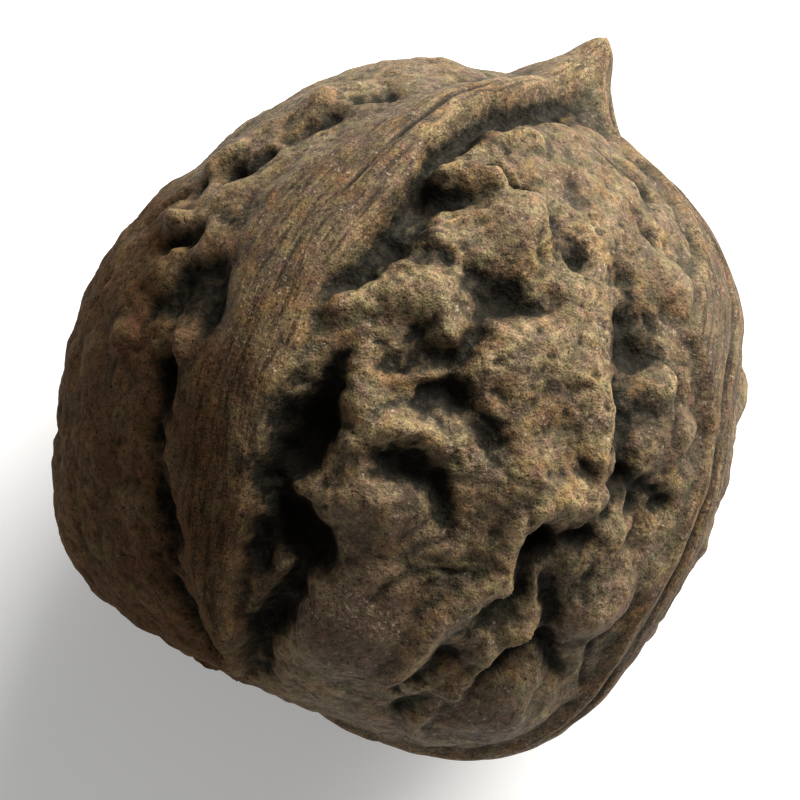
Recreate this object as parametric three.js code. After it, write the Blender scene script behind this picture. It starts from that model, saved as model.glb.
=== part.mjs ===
// A walnut lying on its side, grown as one closed shell: rounded valves, three raised sutures that
// meet in a beak, and a skin of lumps, ridges and pits. Millimetres, Z up, the origin at the middle
// of the small flat spot the nut rests on, the beak toward +X and +Y.
import * as THREE from 'three';

// Size and stance. The face frame has x to the right, y up the face and z out of the face; its origin
// is the middle of the nut. Every table below that gives x and y gives them on that face.
const BODY_RADIUS = 16.8;
const BEAK_LEAN = 60.3;
const BEAK_BACK = 5;
const FACE_ELEVATION = 78;
const REST_DEPTH = 16.25;
const REST_CALM_INNER = 4.2;
const REST_CALM_OUTER = 6.5;

// Mesh: cells along a cube edge, and how far round each vertex the shell is averaged, so that no pit
// narrower than a facet leaves a spike.
const CELLS = 30;
const SAMPLE_STEP = 0.42;
const SAMPLE_SHARE = 0.17;

// Look of the shell.
const SHELL_COLOUR = 0x6d5b45;
const SHELL_ROUGHNESS = 0.82;

// The beak: height above the body, reach at its base, how sharply it rises, how far the reach shifts to one
// side and how much further it runs down the near suture.
const BEAK_HEIGHT = 3.9;
const BEAK_REACH = 3.8;
const BEAK_SHARPNESS = 1.5;
const BEAK_LOPSIDED = 0.4;
const BEAK_SPUR = 0.4;

// Sutures: [latitude, longitude, half width on the low side, half width on the high side], degrees and mm.
const NEAR_SUTURE = [
  [90, -25, 0.6, 0.9], [75, -25, 0.8, 1.1], [60, -24, 1.0, 1.0], [50, -26, 1.5, 1.0], [36, -26, 2.1, 1.4],
  [29, -26, 2.5, 2.1], [23, -26, 3.4, 2.3], [15, -27, 4.0, 2.4], [8, -27, 3.4, 2.2], [3, -26.5, 2.8, 1.9],
  [-5, -26, 2.2, 2.2], [-16, -25, 3.0, 1.9], [-30, -22, 2.9, 1.8], [-41, -21, 2.0, 1.5], [-53, -19, 0.9, 1.3],
  [-62, -13, 0.6, 0.8], [-72, -5, 0.3, 0.3], [-82, 0, -0.5, -0.5], [-90, 0, -0.8, -0.8],
];
const RIGHT_SUTURE = [
  [90, 62, 0.8, 0.8], [60, 64, 1.2, 1.6], [50, 68, 2.4, 1.8], [42, 67, 3.6, 1.9], [32, 63, 3.9, 1.9],
  [25, 62, 2.2, 1.9], [18, 63, 1.3, 1.9], [0, 67, 1.3, 1.8], [-15, 71, 1.3, 1.8], [-30, 83, 1.3, 1.7],
  [-45, 93, 1.2, 1.5], [-60, 97, 0.9, 1.1], [-80, 100, -0.2, -0.2], [-90, 100, -0.8, -0.8],
];
const BACK_SUTURE = [
  [90, 198, 0.7, 0.7], [62, 202, 1.5, 1.4], [40, 205, 2.3, 2.0], [18, 201, 2.4, 2.6], [0, 198, 2.7, 2.2],
  [-20, 202, 2.2, 2.5], [-42, 205, 2.0, 1.7], [-62, 201, 1.2, 1.0], [-80, 200, -0.2, -0.2],
  [-90, 200, -0.8, -0.8],
];

// Swellings of the whole body: [direction round the face in degrees, z of the direction, reach, height].
const SWELLINGS = [
  [20, 0, 6, 0.5], [203, 0, 6, 1.6], [287, 0, 7, 1.4], [128, 0.1, 7, -1.4], [85, 0, 5, 0.4],
  [257, 0, 6, -1.0], [48, 0, 4, -0.2], [234, 0, 4, -0.5], [188, 0, 3, -0.3],
  [1, 0.02, 1.2, 0.5],
];

// Lobes: [x, y, radius, height].
const LOBES = [
  [6.6, 8.4, 2.8, 0.9], [1.7, 6.9, 1.6, 0.6], [2.6, 3.4, 1.2, 0.6], [-1.6, -5.0, 2.6, 0.9],
  [-2.6, -11.0, 3.9, 1.5], [13.2, 5.5, 1.5, 0.8], [12.4, 0.8, 1.3, 0.8], [13.6, -1.4, 1.1, 0.6],
  [9.8, -10.0, 1.9, 0.9], [12.6, -8.6, 1.6, 0.5], [4.6, -14.9, 2.8, 0.9], [-11.1, 9.0, 1.0, 0.8],
  [-10.4, 2.75, 1.0, 0.8], [-13.5, 3.2, 1.2, 0.6], [6.4, 2.2, 2.2, 0.6], [6.0, -3.4, 2.1, 0.7],
  [-0.6, -8.2, 1.5, 0.4], [3.4, -11.8, 1.4, 0.6], [-4.4, 14.9, 1.4, 0.5],
];

// Ridges: lines of [x, y, half width, height].
const RIDGES = [
  [[1.9, 11.1, 0.5, 0.7], [4.3, 10.8, 0.6, 0.9]],
  [[4.3, 13.0, 0.5, 0.6], [6.1, 12.5, 0.7, 0.7]],
  [[-7.2, -10.1, 0.6, 0.5], [-5.75, -7.75, 0.6, 0.8]],
  [[-3.0, 4.6, 0.8, 0.5], [0.0, 5.3, 1.0, 0.7], [2.0, 4.9, 0.9, 0.6]],
  [[-2.6, -2.1, 0.6, 0.6], [0.0, -1.3, 0.8, 0.9], [1.4, -1.8, 0.7, 0.6]],
  [[9.2, 8.4, 1.3, 0.2], [9.4, 5.6, 1.4, 0.3], [8.9, 3.0, 1.4, 0.4], [9.5, 0.4, 1.2, 0.7], [9.9, -2.8, 0.9, 0.9]],
  [[9.8, -4.4, 0.9, 0.8], [7.7, -5.0, 1.0, 0.8], [5.8, -6.2, 0.9, 0.9], [4.9, -8.7, 0.9, 0.9],
    [3.0, -9.9, 0.9, 0.8], [1.3, -11.5, 0.8, 0.7], [-0.9, -13.3, 0.8, 0.5]],
  [[5.8, -11.2, 0.7, 0.7], [3.8, -13.2, 0.6, 0.6], [1.5, -14.8, 0.6, 0.6], [0.4, -15.9, 0.6, 0.5]],
  [[-9.5, 12.2, 1.1, 0.4], [-6.5, 14.0, 1.0, 0.4]],
];

// Hollows, pits and creases: lines of [x, y, half width, depth].
const HOLLOWS = [
  [[8.8, 14.2, 0.9, 0.4], [7.8, 14.6, 1.1, 0.9], [6.4, 14.4, 1.1, 1.2], [5.0, 14.0, 0.9, 1.3],
    [3.6, 13.1, 0.8, 1.4], [2.5, 12.3, 0.7, 1.3], [1.3, 11.4, 0.6, 1.2], [0.9, 10.6, 0.6, 1.2]],
  [[4.7, 11.3, 0.6, 1.2], [6.0, 10.4, 0.5, 0.8]],
  [[0.9, 10.4, 0.9, 1.3], [2.7, 10.2, 0.8, 1.4]],
  [[1.5, 10.4, 0.9, 1.4], [0.3, 8.6, 0.8, 1.3], [-0.5, 7.2, 0.9, 1.4]],
  [[-3.5, 5.6, 0.6, 0.9], [-1.75, 6.2, 0.8, 1.1], [-0.5, 7.2, 0.8, 1.1]],
  [[-2.9, 1.9, 0.5, 1.2], [-3.8, 0.5, 0.8, 2.4], [-4.5, -1.3, 1.5, 3.0], [-5.4, -2.7, 1.3, 2.6],
    [-6.1, -4.0, 0.8, 1.9]],
  [[-4.6, -1.3, 1.2, 1.4], [-2.8, -1.7, 0.8, 0.9]],
  [[-6.4, -4.6, 0.9, 1.7], [-5.5, -6.0, 1.4, 2.4], [-4.2, -7.0, 1.3, 2.0], [-3.9, -8.0, 0.9, 1.2]],
  [[-7.1, -6.4, 0.9, 1.2], [-6.8, -8.0, 1.0, 1.5]],
  [[-4.4, -7.6, 0.9, 1.3], [-5.4, -9.2, 0.9, 1.6], [-6.9, -11.2, 1.1, 1.7], [-7.0, -13.2, 0.8, 1.1]],
  [[3.6, 6.0, 0.8, 1.1], [4.8, 5.3, 1.1, 1.7], [6.3, 4.9, 0.9, 1.3], [7.4, 4.9, 0.8, 0.8]],
  [[0.2, 6.9, 0.7, 0.9], [2.2, 6.5, 0.6, 0.7]],
  [[4.2, 5.0, 0.8, 1.0], [3.8, 3.2, 0.8, 1.0], [3.0, 1.9, 0.8, 1.0]],
  [[-0.2, 2.0, 0.9, 0.9], [0.9, 2.4, 1.2, 1.3], [2.2, 2.0, 0.9, 1.0]],
  [[1.2, 0.1, 0.9, 1.5], [2.7, 0.2, 1.1, 1.8]],
  [[3.2, -0.7, 0.7, 0.9], [4.2, -1.6, 0.9, 1.3], [4.9, -3.0, 0.7, 0.7]],
  [[0.1, -3.1, 0.9, 1.3], [1.1, -3.4, 0.9, 1.5], [1.9, -5.0, 0.8, 1.0], [2.4, -6.2, 0.6, 0.5]],
  [[11.0, 5.6, 1.2, 0.8], [11.4, 3.8, 1.7, 1.3], [11.4, 1.8, 1.7, 1.3], [11.2, 0.0, 1.1, 1.1],
    [11.1, -2.2, 0.8, 1.0], [10.9, -3.6, 0.8, 1.4]],
  [[10.6, -4.2, 0.8, 1.4], [11.8, -4.6, 1.1, 1.5], [12.9, -4.9, 0.8, 1.1]],
  [[10.7, -4.2, 0.7, 1.7], [10.4, -5.4, 0.6, 1.2]],
  [[9.0, -6.5, 0.7, 1.2], [8.1, -6.8, 0.7, 1.6]],
  [[6.7, -6.8, 0.8, 2.1], [6.3, -7.7, 0.9, 1.9], [5.7, -9.5, 0.8, 1.1], [4.2, -11.0, 0.6, 0.8],
    [2.4, -12.4, 0.6, 0.7], [1.0, -13.6, 0.5, 0.6]],
  [[7.4, -7.2, 0.4, 0.9], [7.5, -9.4, 0.6, 1.4], [7.4, -12.2, 0.6, 1.2], [7.7, -15.2, 0.3, 0.5]],
  [[6.9, -11.9, 0.8, 1.2], [5.4, -12.3, 0.8, 1.2], [3.2, -13.9, 0.6, 0.8]],
  [[0.1, -15.0, 0.7, 0.7], [1.9, -14.6, 0.7, 0.7]],
  [[12.4, -5.6, 0.8, 0.9], [11.7, -7.2, 0.7, 0.7]],
  [[-1.9, 14.9, 0.8, 0.9], [-0.6, 15.2, 0.8, 0.8]],
  [[-5.2, 13.4, 0.9, 0.9], [-3.6, 14.0, 0.7, 0.7]],
  [[-8.6, 11.4, 0.9, 1.2], [-6.8, 12.4, 0.8, 1.0]],
  [[-13.0, 9.25, 0.6, 0.6], [-10.5, 10.75, 0.6, 0.7]],
  [[-11.6, 7.6, 0.8, 0.9], [-10.4, 8.2, 0.7, 0.9]],
  [[-12.0, 4.6, 0.9, 0.8], [-10.6, 5.5, 1.4, 1.1], [-9.4, 5.8, 1.3, 1.1], [-9.0, 3.8, 1.0, 0.8]],
  [[-11.6, 1.6, 0.7, 1.6], [-11.5, 0.0, 0.6, 0.8], [-11.9, -2.0, 0.8, 1.0], [-11.8, -4.5, 0.9, 1.2],
    [-11.4, -6.5, 0.8, 1.2], [-11.0, -7.8, 0.6, 1.0]],
  [[-11.6, -7.9, 0.6, 0.9], [-10.6, -9.9, 0.6, 1.0], [-9.9, -11.6, 0.6, 1.0], [-8.9, -12.8, 0.5, 0.9],
    [-7.2, -14.4, 0.5, 0.7]],
];

// Skin: sizes and heights of the seeded wrinkles.
const LUMP_SIZES = [3.4, 1.7];
const LUMP_SHARES = [0.62, 0.32];
const FACE_LUMP_HEIGHT = 1.1;
const BACK_LUMP_HEIGHT = 2.5;
const BACK_LUMP_LEVELLING = 0.45;
const BAND_HEIGHT = [0.7, 0.5, 0.8];
const CREST_HEIGHT = 0.2;
const CRACK_DEPTH = [0.34, 0.6, 0.34];
const CRACK_HALF_WIDTH = [0.4, 0.65, 0.45];
const DEEPEST_HOLLOW = 3.0;

// How far the near suture's crack is open: [latitude, share].
const NEAR_CRACK_OPEN = [[80, 0], [72, 0.9], [30, 1], [15, 0.45], [-10, 0.25], [-60, 0.15]];

const radians = (degrees) => degrees * Math.PI / 180;
const clamp01 = (t) => Math.min(1, Math.max(0, t));
const easeIn = (t) => clamp01(t) ** 2 * (3 - 2 * clamp01(t));
const dome = (t) => (1 - clamp01(t) ** 2) ** 2;
const steepPit = (t) => easeIn((1 - t) / 0.9);

const TIP = new THREE.Vector3(
  Math.cos(radians(BEAK_BACK)) * Math.cos(radians(BEAK_LEAN)),
  Math.cos(radians(BEAK_BACK)) * Math.sin(radians(BEAK_LEAN)),
  -Math.sin(radians(BEAK_BACK)),
);
const FRONT = new THREE.Vector3(0, 0, 1).addScaledVector(TIP, -TIP.z).normalize();
const RIGHT = new THREE.Vector3().crossVectors(TIP, FRONT);
const DOWN = new THREE.Vector3(0, -Math.cos(radians(FACE_ELEVATION)), -Math.sin(radians(FACE_ELEVATION)));

function onBall(vector) {
  return vector.normalize().multiplyScalar(BODY_RADIUS);
}

function onFace(x, y) {
  const depth = Math.sqrt(Math.max(BODY_RADIUS ** 2 - x * x - y * y, 0));
  return onBall(new THREE.Vector3(x, y, depth));
}

// Lines given on the face, cut into short pieces that follow the ball.
function traceOnFace(rows) {
  const points = [];
  for (let k = 0; k < rows.length; k += 1) {
    const from = rows[k];
    const to = rows[Math.min(k + 1, rows.length - 1)];
    const pieces = Math.max(1, Math.floor(Math.hypot(to[0] - from[0], to[1] - from[1]) / 2.5));
    for (let n = 0; n < pieces; n += 1) {
      const [x, y, width, size] = from.map((value, i) => value + (to[i] - value) * n / pieces);
      points.push({ at: onFace(x, y), width, size });
    }
  }
  return points;
}

const lobes = LOBES.map(([x, y, radius, height]) => ({ at: onFace(x, y), radius, height }));
const ridges = RIDGES.map(traceOnFace);
const hollows = HOLLOWS.map(traceOnFace);
const swellings = SWELLINGS.map(([turn, z, reach, height]) => {
  const at = onBall(new THREE.Vector3(Math.cos(radians(turn)), Math.sin(radians(turn)), z));
  return { at, reach, height };
});

// Distance to a line, with the width and size met at its nearest point.
function nearestOn(line, point) {
  const best = { distance: Infinity, width: 1, size: 0 };
  const step = new THREE.Vector3();
  const offset = new THREE.Vector3();
  for (let k = 0; k + 1 < line.length; k += 1) {
    step.subVectors(line[k + 1].at, line[k].at);
    offset.subVectors(point, line[k].at);
    const t = clamp01(offset.dot(step) / step.lengthSq());
    const distance = offset.addScaledVector(step, -t).length();
    if (distance < best.distance) {
      best.distance = distance;
      best.width = line[k].width + t * (line[k + 1].width - line[k].width);
      best.size = line[k].size + t * (line[k + 1].size - line[k].size);
    }
  }
  return best;
}

// Smooth seeded noise, about -1 to 1.
function hash(x, y, z, seed) {
  let h = (Math.imul(x, 374761393) + Math.imul(y, 668265263)
    + Math.imul(z, 2147483629) + Math.imul(seed, 974634777)) | 0;
  h = Math.imul(h ^ (h >>> 13), 1274126177);
  h = Math.imul(h ^ (h >>> 16), 2246822519);
  return (h ^ (h >>> 15)) >>> 0;
}

function noise(point, size, seed) {
  const place = [point.x / size, point.y / size, point.z / size];
  const cell = place.map(Math.floor);
  const inside = place.map((value, i) => value - cell[i]);
  const ease = inside.map((t) => t ** 3 * (t * (t * 6 - 15) + 10));
  let total = 0;
  for (let corner = 0; corner < 8; corner += 1) {
    const step = [corner & 1, (corner >> 1) & 1, corner >> 2];
    const h = hash(cell[0] + step[0], cell[1] + step[1], cell[2] + step[2], seed);
    let slope = 0;
    let weight = 1;
    for (let i = 0; i < 3; i += 1) {
      const pull = ((h >>> (10 * i)) & 1023) / 511.5 - 1;
      slope += pull * (inside[i] - step[i]);
      weight *= step[i] ? ease[i] : 1 - ease[i];
    }
    total += weight * slope;
  }
  return total * 1.4;
}

// Row values between the two rows that hold this latitude; rows run from 90 down to -90.
function rowAt(table, latitude) {
  let k = 0;
  while (k < table.length - 2 && latitude < table[k + 1][0]) k += 1;
  const t = clamp01((table[k][0] - latitude) / (table[k][0] - table[k + 1][0]));
  return table[k].map((value, i) => value + t * (table[k + 1][i] - value));
}

function latitudeOf(direction) {
  return Math.asin(Math.min(1, Math.max(-1, direction.dot(TIP)))) * 180 / Math.PI;
}

function longitudeOf(direction) {
  return Math.atan2(direction.dot(RIGHT), direction.dot(FRONT)) * 180 / Math.PI;
}

function directionAt(longitude, latitude) {
  const across = Math.cos(radians(latitude));
  return new THREE.Vector3()
    .addScaledVector(FRONT, across * Math.cos(radians(longitude)))
    .addScaledVector(RIGHT, across * Math.sin(radians(longitude)))
    .addScaledVector(TIP, Math.sin(radians(latitude)));
}

// How far a direction lies from a suture's line in mm, its half width on that side and its share of the band.
function fromSuture(table, direction, softness) {
  const latitude = latitudeOf(direction);
  const [, line, lowWidth, highWidth] = rowAt(table, latitude);
  const turn = ((longitudeOf(direction) - line) % 360 + 540) % 360 - 180;
  const across = BODY_RADIUS * Math.cos(radians(latitude)) * Math.sin(radians(Math.min(90, Math.abs(turn))));
  const halfWidth = turn < 0 ? lowWidth : highWidth;
  const soft = turn < 0 ? softness[0] : softness[1];
  return { across, share: easeIn((halfWidth + 0.45 * soft - across) / soft) };
}

// Radius of the shell in a direction.
function shellRadius(direction) {
  const point = direction.clone().multiplyScalar(BODY_RADIUS);
  const drift = [0, 1, 2].map((i) => 0.55 * noise(point, 3, 11 + i) + 0.2 * noise(point, 1.4, 21 + i));
  const wander = new THREE.Vector3(...drift);
  const loose = onBall(point.clone().add(wander));
  const edge = point.clone().addScaledVector(wander, 0.35).normalize();

  const near = fromSuture(NEAR_SUTURE, edge, [2.2, 0.9]);
  const right = fromSuture(RIGHT_SUTURE, edge, [0.9, 0.9]);
  const back = fromSuture(BACK_SUTURE, edge, [1.1, 1.1]);
  const bands = [near, right, back];
  const band = Math.max(...bands.map(({ share }) => share));
  const sutures = [NEAR_SUTURE, RIGHT_SUTURE, BACK_SUTURE];
  const cracks = sutures.map((table) => fromSuture(table, direction, [1, 1]).across);

  let radius = BODY_RADIUS;
  for (const { at, reach, height } of swellings) {
    radius += height * Math.exp(-((point.distanceTo(at) / reach) ** 2));
  }

  let lumps = 0;
  LUMP_SIZES.forEach((size, i) => {
    lumps += LUMP_SHARES[i] * Math.abs(noise(loose, size, 31 + i));
  });
  const face = easeIn((direction.z + 0.4) / 0.4);
  const patch = 0.6 + 0.4 * easeIn(0.5 + noise(point, 6, 51));
  const lumpHeight = face * FACE_LUMP_HEIGHT * patch + (1 - face) * BACK_LUMP_HEIGHT;
  const tallest = (1 - face) * BACK_LUMP_LEVELLING * lumps ** 2;
  let relief = (1 - 0.9 * band) * lumpHeight * (lumps - tallest - 0.25);

  for (const { at, radius: reach, height } of lobes) {
    relief += (1 - band) * height * dome(loose.distanceTo(at) / (1.3 * reach));
  }
  for (const ridge of ridges) {
    const { distance, width, size } = nearestOn(ridge, loose);
    relief += (1 - band) * size * dome(distance / (1.5 * width));
  }
  const patchy = 0.6 + 0.4 * easeIn(0.5 + 1.2 * noise(point, 1.8, 91));
  let cut = 0;
  for (const hollow of hollows) {
    const { distance, width, size } = nearestOn(hollow, loose);
    const funnel = 0.4 * dome(distance / (2.4 * width)) + 0.6 * steepPit(distance / (1.4 * width));
    const depth = size * (patchy + (1 - patchy) * easeIn(size - 1.6));
    cut = Math.hypot(cut, depth * funnel);
  }
  relief -= (1 - 0.85 * band) * Math.min(cut, DEEPEST_HOLLOW);

  const nearOpen = rowAt(NEAR_CRACK_OPEN, latitudeOf(direction))[1];
  bands.forEach(({ across, share }, i) => {
    const crest = i === 0 ? CREST_HEIGHT * dome(across / 2.2) : 0;
    const open = i === 0 ? nearOpen : 1;
    relief += share * (BAND_HEIGHT[i] + crest);
    relief -= share * open * CRACK_DEPTH[i] * dome(cracks[i] / CRACK_HALF_WIDTH[i]);
  });
  relief += band * 0.1 * noise(point, 1.6, 41);

  const fromTip = point.distanceTo(TIP.clone().multiplyScalar(BODY_RADIUS));
  const longitude = longitudeOf(direction);
  const reach = BEAK_REACH - BEAK_LOPSIDED * Math.sin(radians(longitude))
    + BEAK_SPUR * dome(Math.abs(longitude + 30) / 55);
  relief = relief * easeIn((fromTip + 1.2) / 4)
    + BEAK_HEIGHT * clamp01(1 - fromTip / reach) ** BEAK_SHARPNESS;

  const fromRest = point.distanceTo(DOWN.clone().multiplyScalar(BODY_RADIUS));
  relief *= easeIn((fromRest - REST_CALM_INNER) / (REST_CALM_OUTER - REST_CALM_INNER));
  const sinks = direction.dot(DOWN);
  const restRadius = sinks > 0.5 ? REST_DEPTH / sinks : Infinity;
  return Math.min(radius + relief, restRadius);
}

// Radius at a mesh vertex: the shell there, averaged with four places a short step away.
function vertexRadius(direction) {
  if (direction.dot(TIP) > 0.9999) return shellRadius(direction);
  const sideways = new THREE.Vector3().crossVectors(TIP, direction).normalize();
  const upward = new THREE.Vector3().crossVectors(direction, sideways);
  let radius = (1 - 4 * SAMPLE_SHARE) * shellRadius(direction);
  for (const way of [sideways, upward]) {
    for (const sign of [-1, 1]) {
      const nearby = direction.clone().addScaledVector(way, sign * SAMPLE_STEP / BODY_RADIUS).normalize();
      radius += SAMPLE_SHARE * shellRadius(nearby);
    }
  }
  const sinks = direction.dot(DOWN);
  return sinks > 0.5 ? Math.min(radius, REST_DEPTH / sinks) : radius;
}

// Turns the face frame into the standing frame and puts the resting spot on z = 0.
function standing(point) {
  const up = Math.sin(radians(FACE_ELEVATION));
  const away = Math.cos(radians(FACE_ELEVATION));
  return [point.x, point.y * up - point.z * away, point.y * away + point.z * up + REST_DEPTH];
}

// A direction for a point on a cube, its columns turned so that mesh lines run along the three sutures.
function meshDirection(side, across, tip) {
  const length = Math.hypot(side, across, tip);
  const latitude = Math.asin(tip / length) * 180 / Math.PI;
  const column = (Math.atan2(across, side) * 180 / Math.PI + 360) % 360;
  const nearLine = rowAt(NEAR_SUTURE, latitude)[1];
  const rightLine = rowAt(RIGHT_SUTURE, latitude)[1];
  const backLine = rowAt(BACK_SUTURE, latitude)[1];
  if (column < 90) return directionAt(nearLine + (rightLine - nearLine) * column / 90, latitude);
  if (column < 225) return directionAt(rightLine + (backLine - rightLine) * (column - 90) / 135, latitude);
  return directionAt(backLine + (nearLine + 360 - backLine) * (column - 225) / 135, latitude);
}

const steps = Array.from({ length: CELLS + 1 }, (_, i) => Math.tan((2 * i / CELLS - 1) * Math.PI / 4));
const directions = [];
const positions = [];
const known = new Map();

function vertex(axis, sign, i, j) {
  const grid = [0, 0, 0];
  grid[axis] = sign * CELLS;
  grid[(axis + 1) % 3] = 2 * i - CELLS;
  grid[(axis + 2) % 3] = 2 * j - CELLS;
  const key = grid.join();
  if (!known.has(key)) {
    const cube = [0, 0, 0];
    cube[axis] = sign;
    cube[(axis + 1) % 3] = steps[i];
    cube[(axis + 2) % 3] = steps[j];
    const direction = meshDirection(...cube);
    known.set(key, directions.length);
    directions.push(direction);
    positions.push(direction.clone().multiplyScalar(vertexRadius(direction)));
  }
  return known.get(key);
}

// Splits a cell along the diagonal that lies nearer the true shell at its middle.
function splitCell([a, b, c, d]) {
  const middle = new THREE.Vector3();
  for (const corner of [a, b, c, d]) middle.add(directions[corner]);
  middle.normalize();
  const truth = vertexRadius(middle);
  const alongAC = positions[a].clone().add(positions[c]).multiplyScalar(0.5).length();
  const alongBD = positions[b].clone().add(positions[d]).multiplyScalar(0.5).length();
  if (Math.abs(alongAC - truth) < Math.abs(alongBD - truth)) return [a, b, c, a, c, d];
  return [b, c, d, b, d, a];
}

const triangles = [];
for (let axis = 0; axis < 3; axis += 1) {
  for (const sign of [-1, 1]) {
    for (let i = 0; i < CELLS; i += 1) {
      for (let j = 0; j < CELLS; j += 1) {
        const cell = [vertex(axis, sign, i, j), vertex(axis, sign, i + 1, j),
          vertex(axis, sign, i + 1, j + 1), vertex(axis, sign, i, j + 1)];
        triangles.push(...splitCell(sign > 0 ? cell : cell.reverse()));
      }
    }
  }
}

const geometry = new THREE.BufferGeometry();
geometry.setAttribute('position', new THREE.Float32BufferAttribute(positions.flatMap(standing), 3));
geometry.setIndex(triangles);
geometry.computeVertexNormals();

const material = new THREE.MeshStandardMaterial({
  color: SHELL_COLOUR,
  roughness: SHELL_ROUGHNESS,
  metalness: 0,
});
const walnut = new THREE.Mesh(geometry, material);
walnut.name = 'walnut';

const group = new THREE.Group();
group.name = 'walnut_part';
group.add(walnut);

export default group;
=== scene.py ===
import math

import bpy
import numpy as np
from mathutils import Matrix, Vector


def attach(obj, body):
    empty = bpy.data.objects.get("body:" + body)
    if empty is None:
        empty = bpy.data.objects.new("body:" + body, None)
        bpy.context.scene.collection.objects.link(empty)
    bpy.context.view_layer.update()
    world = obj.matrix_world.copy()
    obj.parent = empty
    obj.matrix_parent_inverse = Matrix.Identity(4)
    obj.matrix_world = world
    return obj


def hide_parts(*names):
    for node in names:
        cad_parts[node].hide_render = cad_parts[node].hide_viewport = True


# Size and stance, in millimetres and degrees. The face frame has x to the right, y up the face and z out of
# the face, and its origin is the middle of the nut. Every table that gives x and y gives them on that face.
# The beak points up the face, turned this far from x, and a little back. The nut rests on a small flat spot
# this deep below its middle, and the relief fades out around the spot.
BODY_RADIUS = 16.8
BEAK_LEAN = 60.3
BEAK_BACK = 5
FACE_ELEVATION = 78
REST_DEPTH = 16.25
REST_CALM_INNER = 4.2
REST_CALM_OUTER = 6.5

# Cells along each edge of the cube whose surface is moved out to the shell.
CELLS = 128

# The beak: height above the body, reach at its base, how sharply it rises, how far the reach shifts to one
# side, and how much further it reaches by the near suture, round this longitude and this far to each side.
BEAK_HEIGHT = 3.9
BEAK_REACH = 3.8
BEAK_SHARPNESS = 1.5
BEAK_LOPSIDED = 0.4
BEAK_SPUR = 0.4
BEAK_SPUR_LONGITUDE = -30.0
BEAK_SPUR_HALF_WIDTH = 55.0

# Sutures from beak to base: [latitude, longitude, half width on the low side, and on the high side].
# Latitude rises to 90 at the beak. Longitude turns round the beak's axis, from the front toward the right.
# The low side is the side of lower longitude. A band fades away where its half widths fall below zero.
NEAR_SUTURE = [
    [90, -25, 0.6, 0.9], [75, -25, 0.8, 1.1], [60, -24, 1.0, 1.0], [50, -26, 1.5, 1.0],
    [36, -26, 2.1, 1.4], [29, -26, 2.5, 2.1], [23, -26, 3.4, 2.3], [15, -27, 4.0, 2.4],
    [8, -27, 3.4, 2.2], [3, -26.5, 2.8, 1.9], [-5, -26, 2.2, 2.2], [-16, -25, 3.0, 1.9],
    [-30, -22, 2.9, 1.8], [-41, -21, 2.0, 1.5], [-53, -19, 0.9, 1.3], [-62, -13, 0.6, 0.8],
    [-72, -5, 0.3, 0.3], [-82, 0, -0.5, -0.5], [-90, 0, -0.8, -0.8],
]
RIGHT_SUTURE = [
    [90, 62, 0.8, 0.8], [60, 64, 1.2, 1.6], [50, 68, 2.4, 1.8], [42, 67, 3.6, 1.9], [32, 63, 3.9, 1.9],
    [25, 62, 2.2, 1.9], [18, 63, 1.3, 1.9], [0, 67, 1.3, 1.8], [-15, 71, 1.3, 1.8], [-30, 83, 1.3, 1.7],
    [-45, 93, 1.2, 1.5], [-60, 97, 0.9, 1.1], [-80, 100, -0.2, -0.2], [-90, 100, -0.8, -0.8],
]
BACK_SUTURE = [
    [90, 198, 0.7, 0.7], [62, 202, 1.5, 1.4], [40, 205, 2.3, 2.0], [18, 201, 2.4, 2.6],
    [0, 198, 2.7, 2.2], [-20, 202, 2.2, 2.5], [-42, 205, 2.0, 1.7], [-62, 201, 1.2, 1.0],
    [-80, 200, -0.2, -0.2], [-90, 200, -0.8, -0.8],
]

# What else a suture has: how softly its band ends on the low side and the high side, the height of the band
# and of a crest along its middle, the crack's depth and half width, and how far open it is at each latitude.
SUTURES = [
    {
        "rows": NEAR_SUTURE,
        "softness": [2.2, 0.9],
        "height": 0.7,
        "crest": 0.2,
        "crack_depth": 0.28,
        "crack_half_width": 0.2,
        "crack_open": [[-60, -10, 15, 30, 72, 80], [0.15, 0.3, 0.7, 1.0, 0.9, 0.0]],
    },
    {
        "rows": RIGHT_SUTURE,
        "softness": [0.9, 0.9],
        "height": 0.5,
        "crest": 0.0,
        "crack_depth": 0.6,
        "crack_half_width": 0.5,
        "crack_open": [[-70, 80], [1.0, 1.0]],
    },
    {
        "rows": BACK_SUTURE,
        "softness": [1.1, 1.1],
        "height": 0.8,
        "crest": 0.0,
        "crack_depth": 0.34,
        "crack_half_width": 0.25,
        "crack_open": [[-70, 0, 80], [0.6, 0.9, 0.6]],
    },
]
CREST_REACH = 2.2

# Broad swellings and flats of the body: [turn from x in the face plane, share out of it, reach, height].
SWELLINGS = [
    [20, 0, 6, 0.5], [203, 0, 6, 1.6], [287, 0, 7, 1.4], [128, 0.1, 7, -1.4], [85, 0, 5, 0.4],
    [257, 0, 6, -1.0], [48, 0, 4, -0.2], [234, 0, 4, -0.5], [188, 0, 3, -0.3], [1, 0.02, 1.2, 0.5],
]

# Rounded lobes: [x, y, radius, height].
LOBES = [
    [5.8, 8.6, 2.2, 0.9], [1.7, 6.9, 1.6, 0.6], [2.6, 3.4, 1.2, 0.6], [-1.6, -5.0, 2.6, 0.9],
    [-2.6, -11.0, 3.9, 1.5], [13.2, 5.5, 1.5, 0.8], [12.4, 0.8, 1.3, 0.8], [13.6, -1.4, 1.1, 0.6],
    [9.8, -10.0, 1.9, 0.9], [12.6, -8.6, 1.6, 0.5], [4.6, -14.9, 2.8, 0.9], [-11.1, 9.0, 1.0, 0.8],
    [-10.4, 2.75, 1.0, 0.8], [-13.5, 3.2, 1.2, 0.6], [6.4, 2.2, 2.2, 0.6], [6.0, -3.4, 2.1, 0.7],
    [-0.6, -8.2, 1.5, 0.4], [3.4, -11.8, 1.4, 0.6], [-4.4, 14.9, 1.4, 0.5],
]

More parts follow.
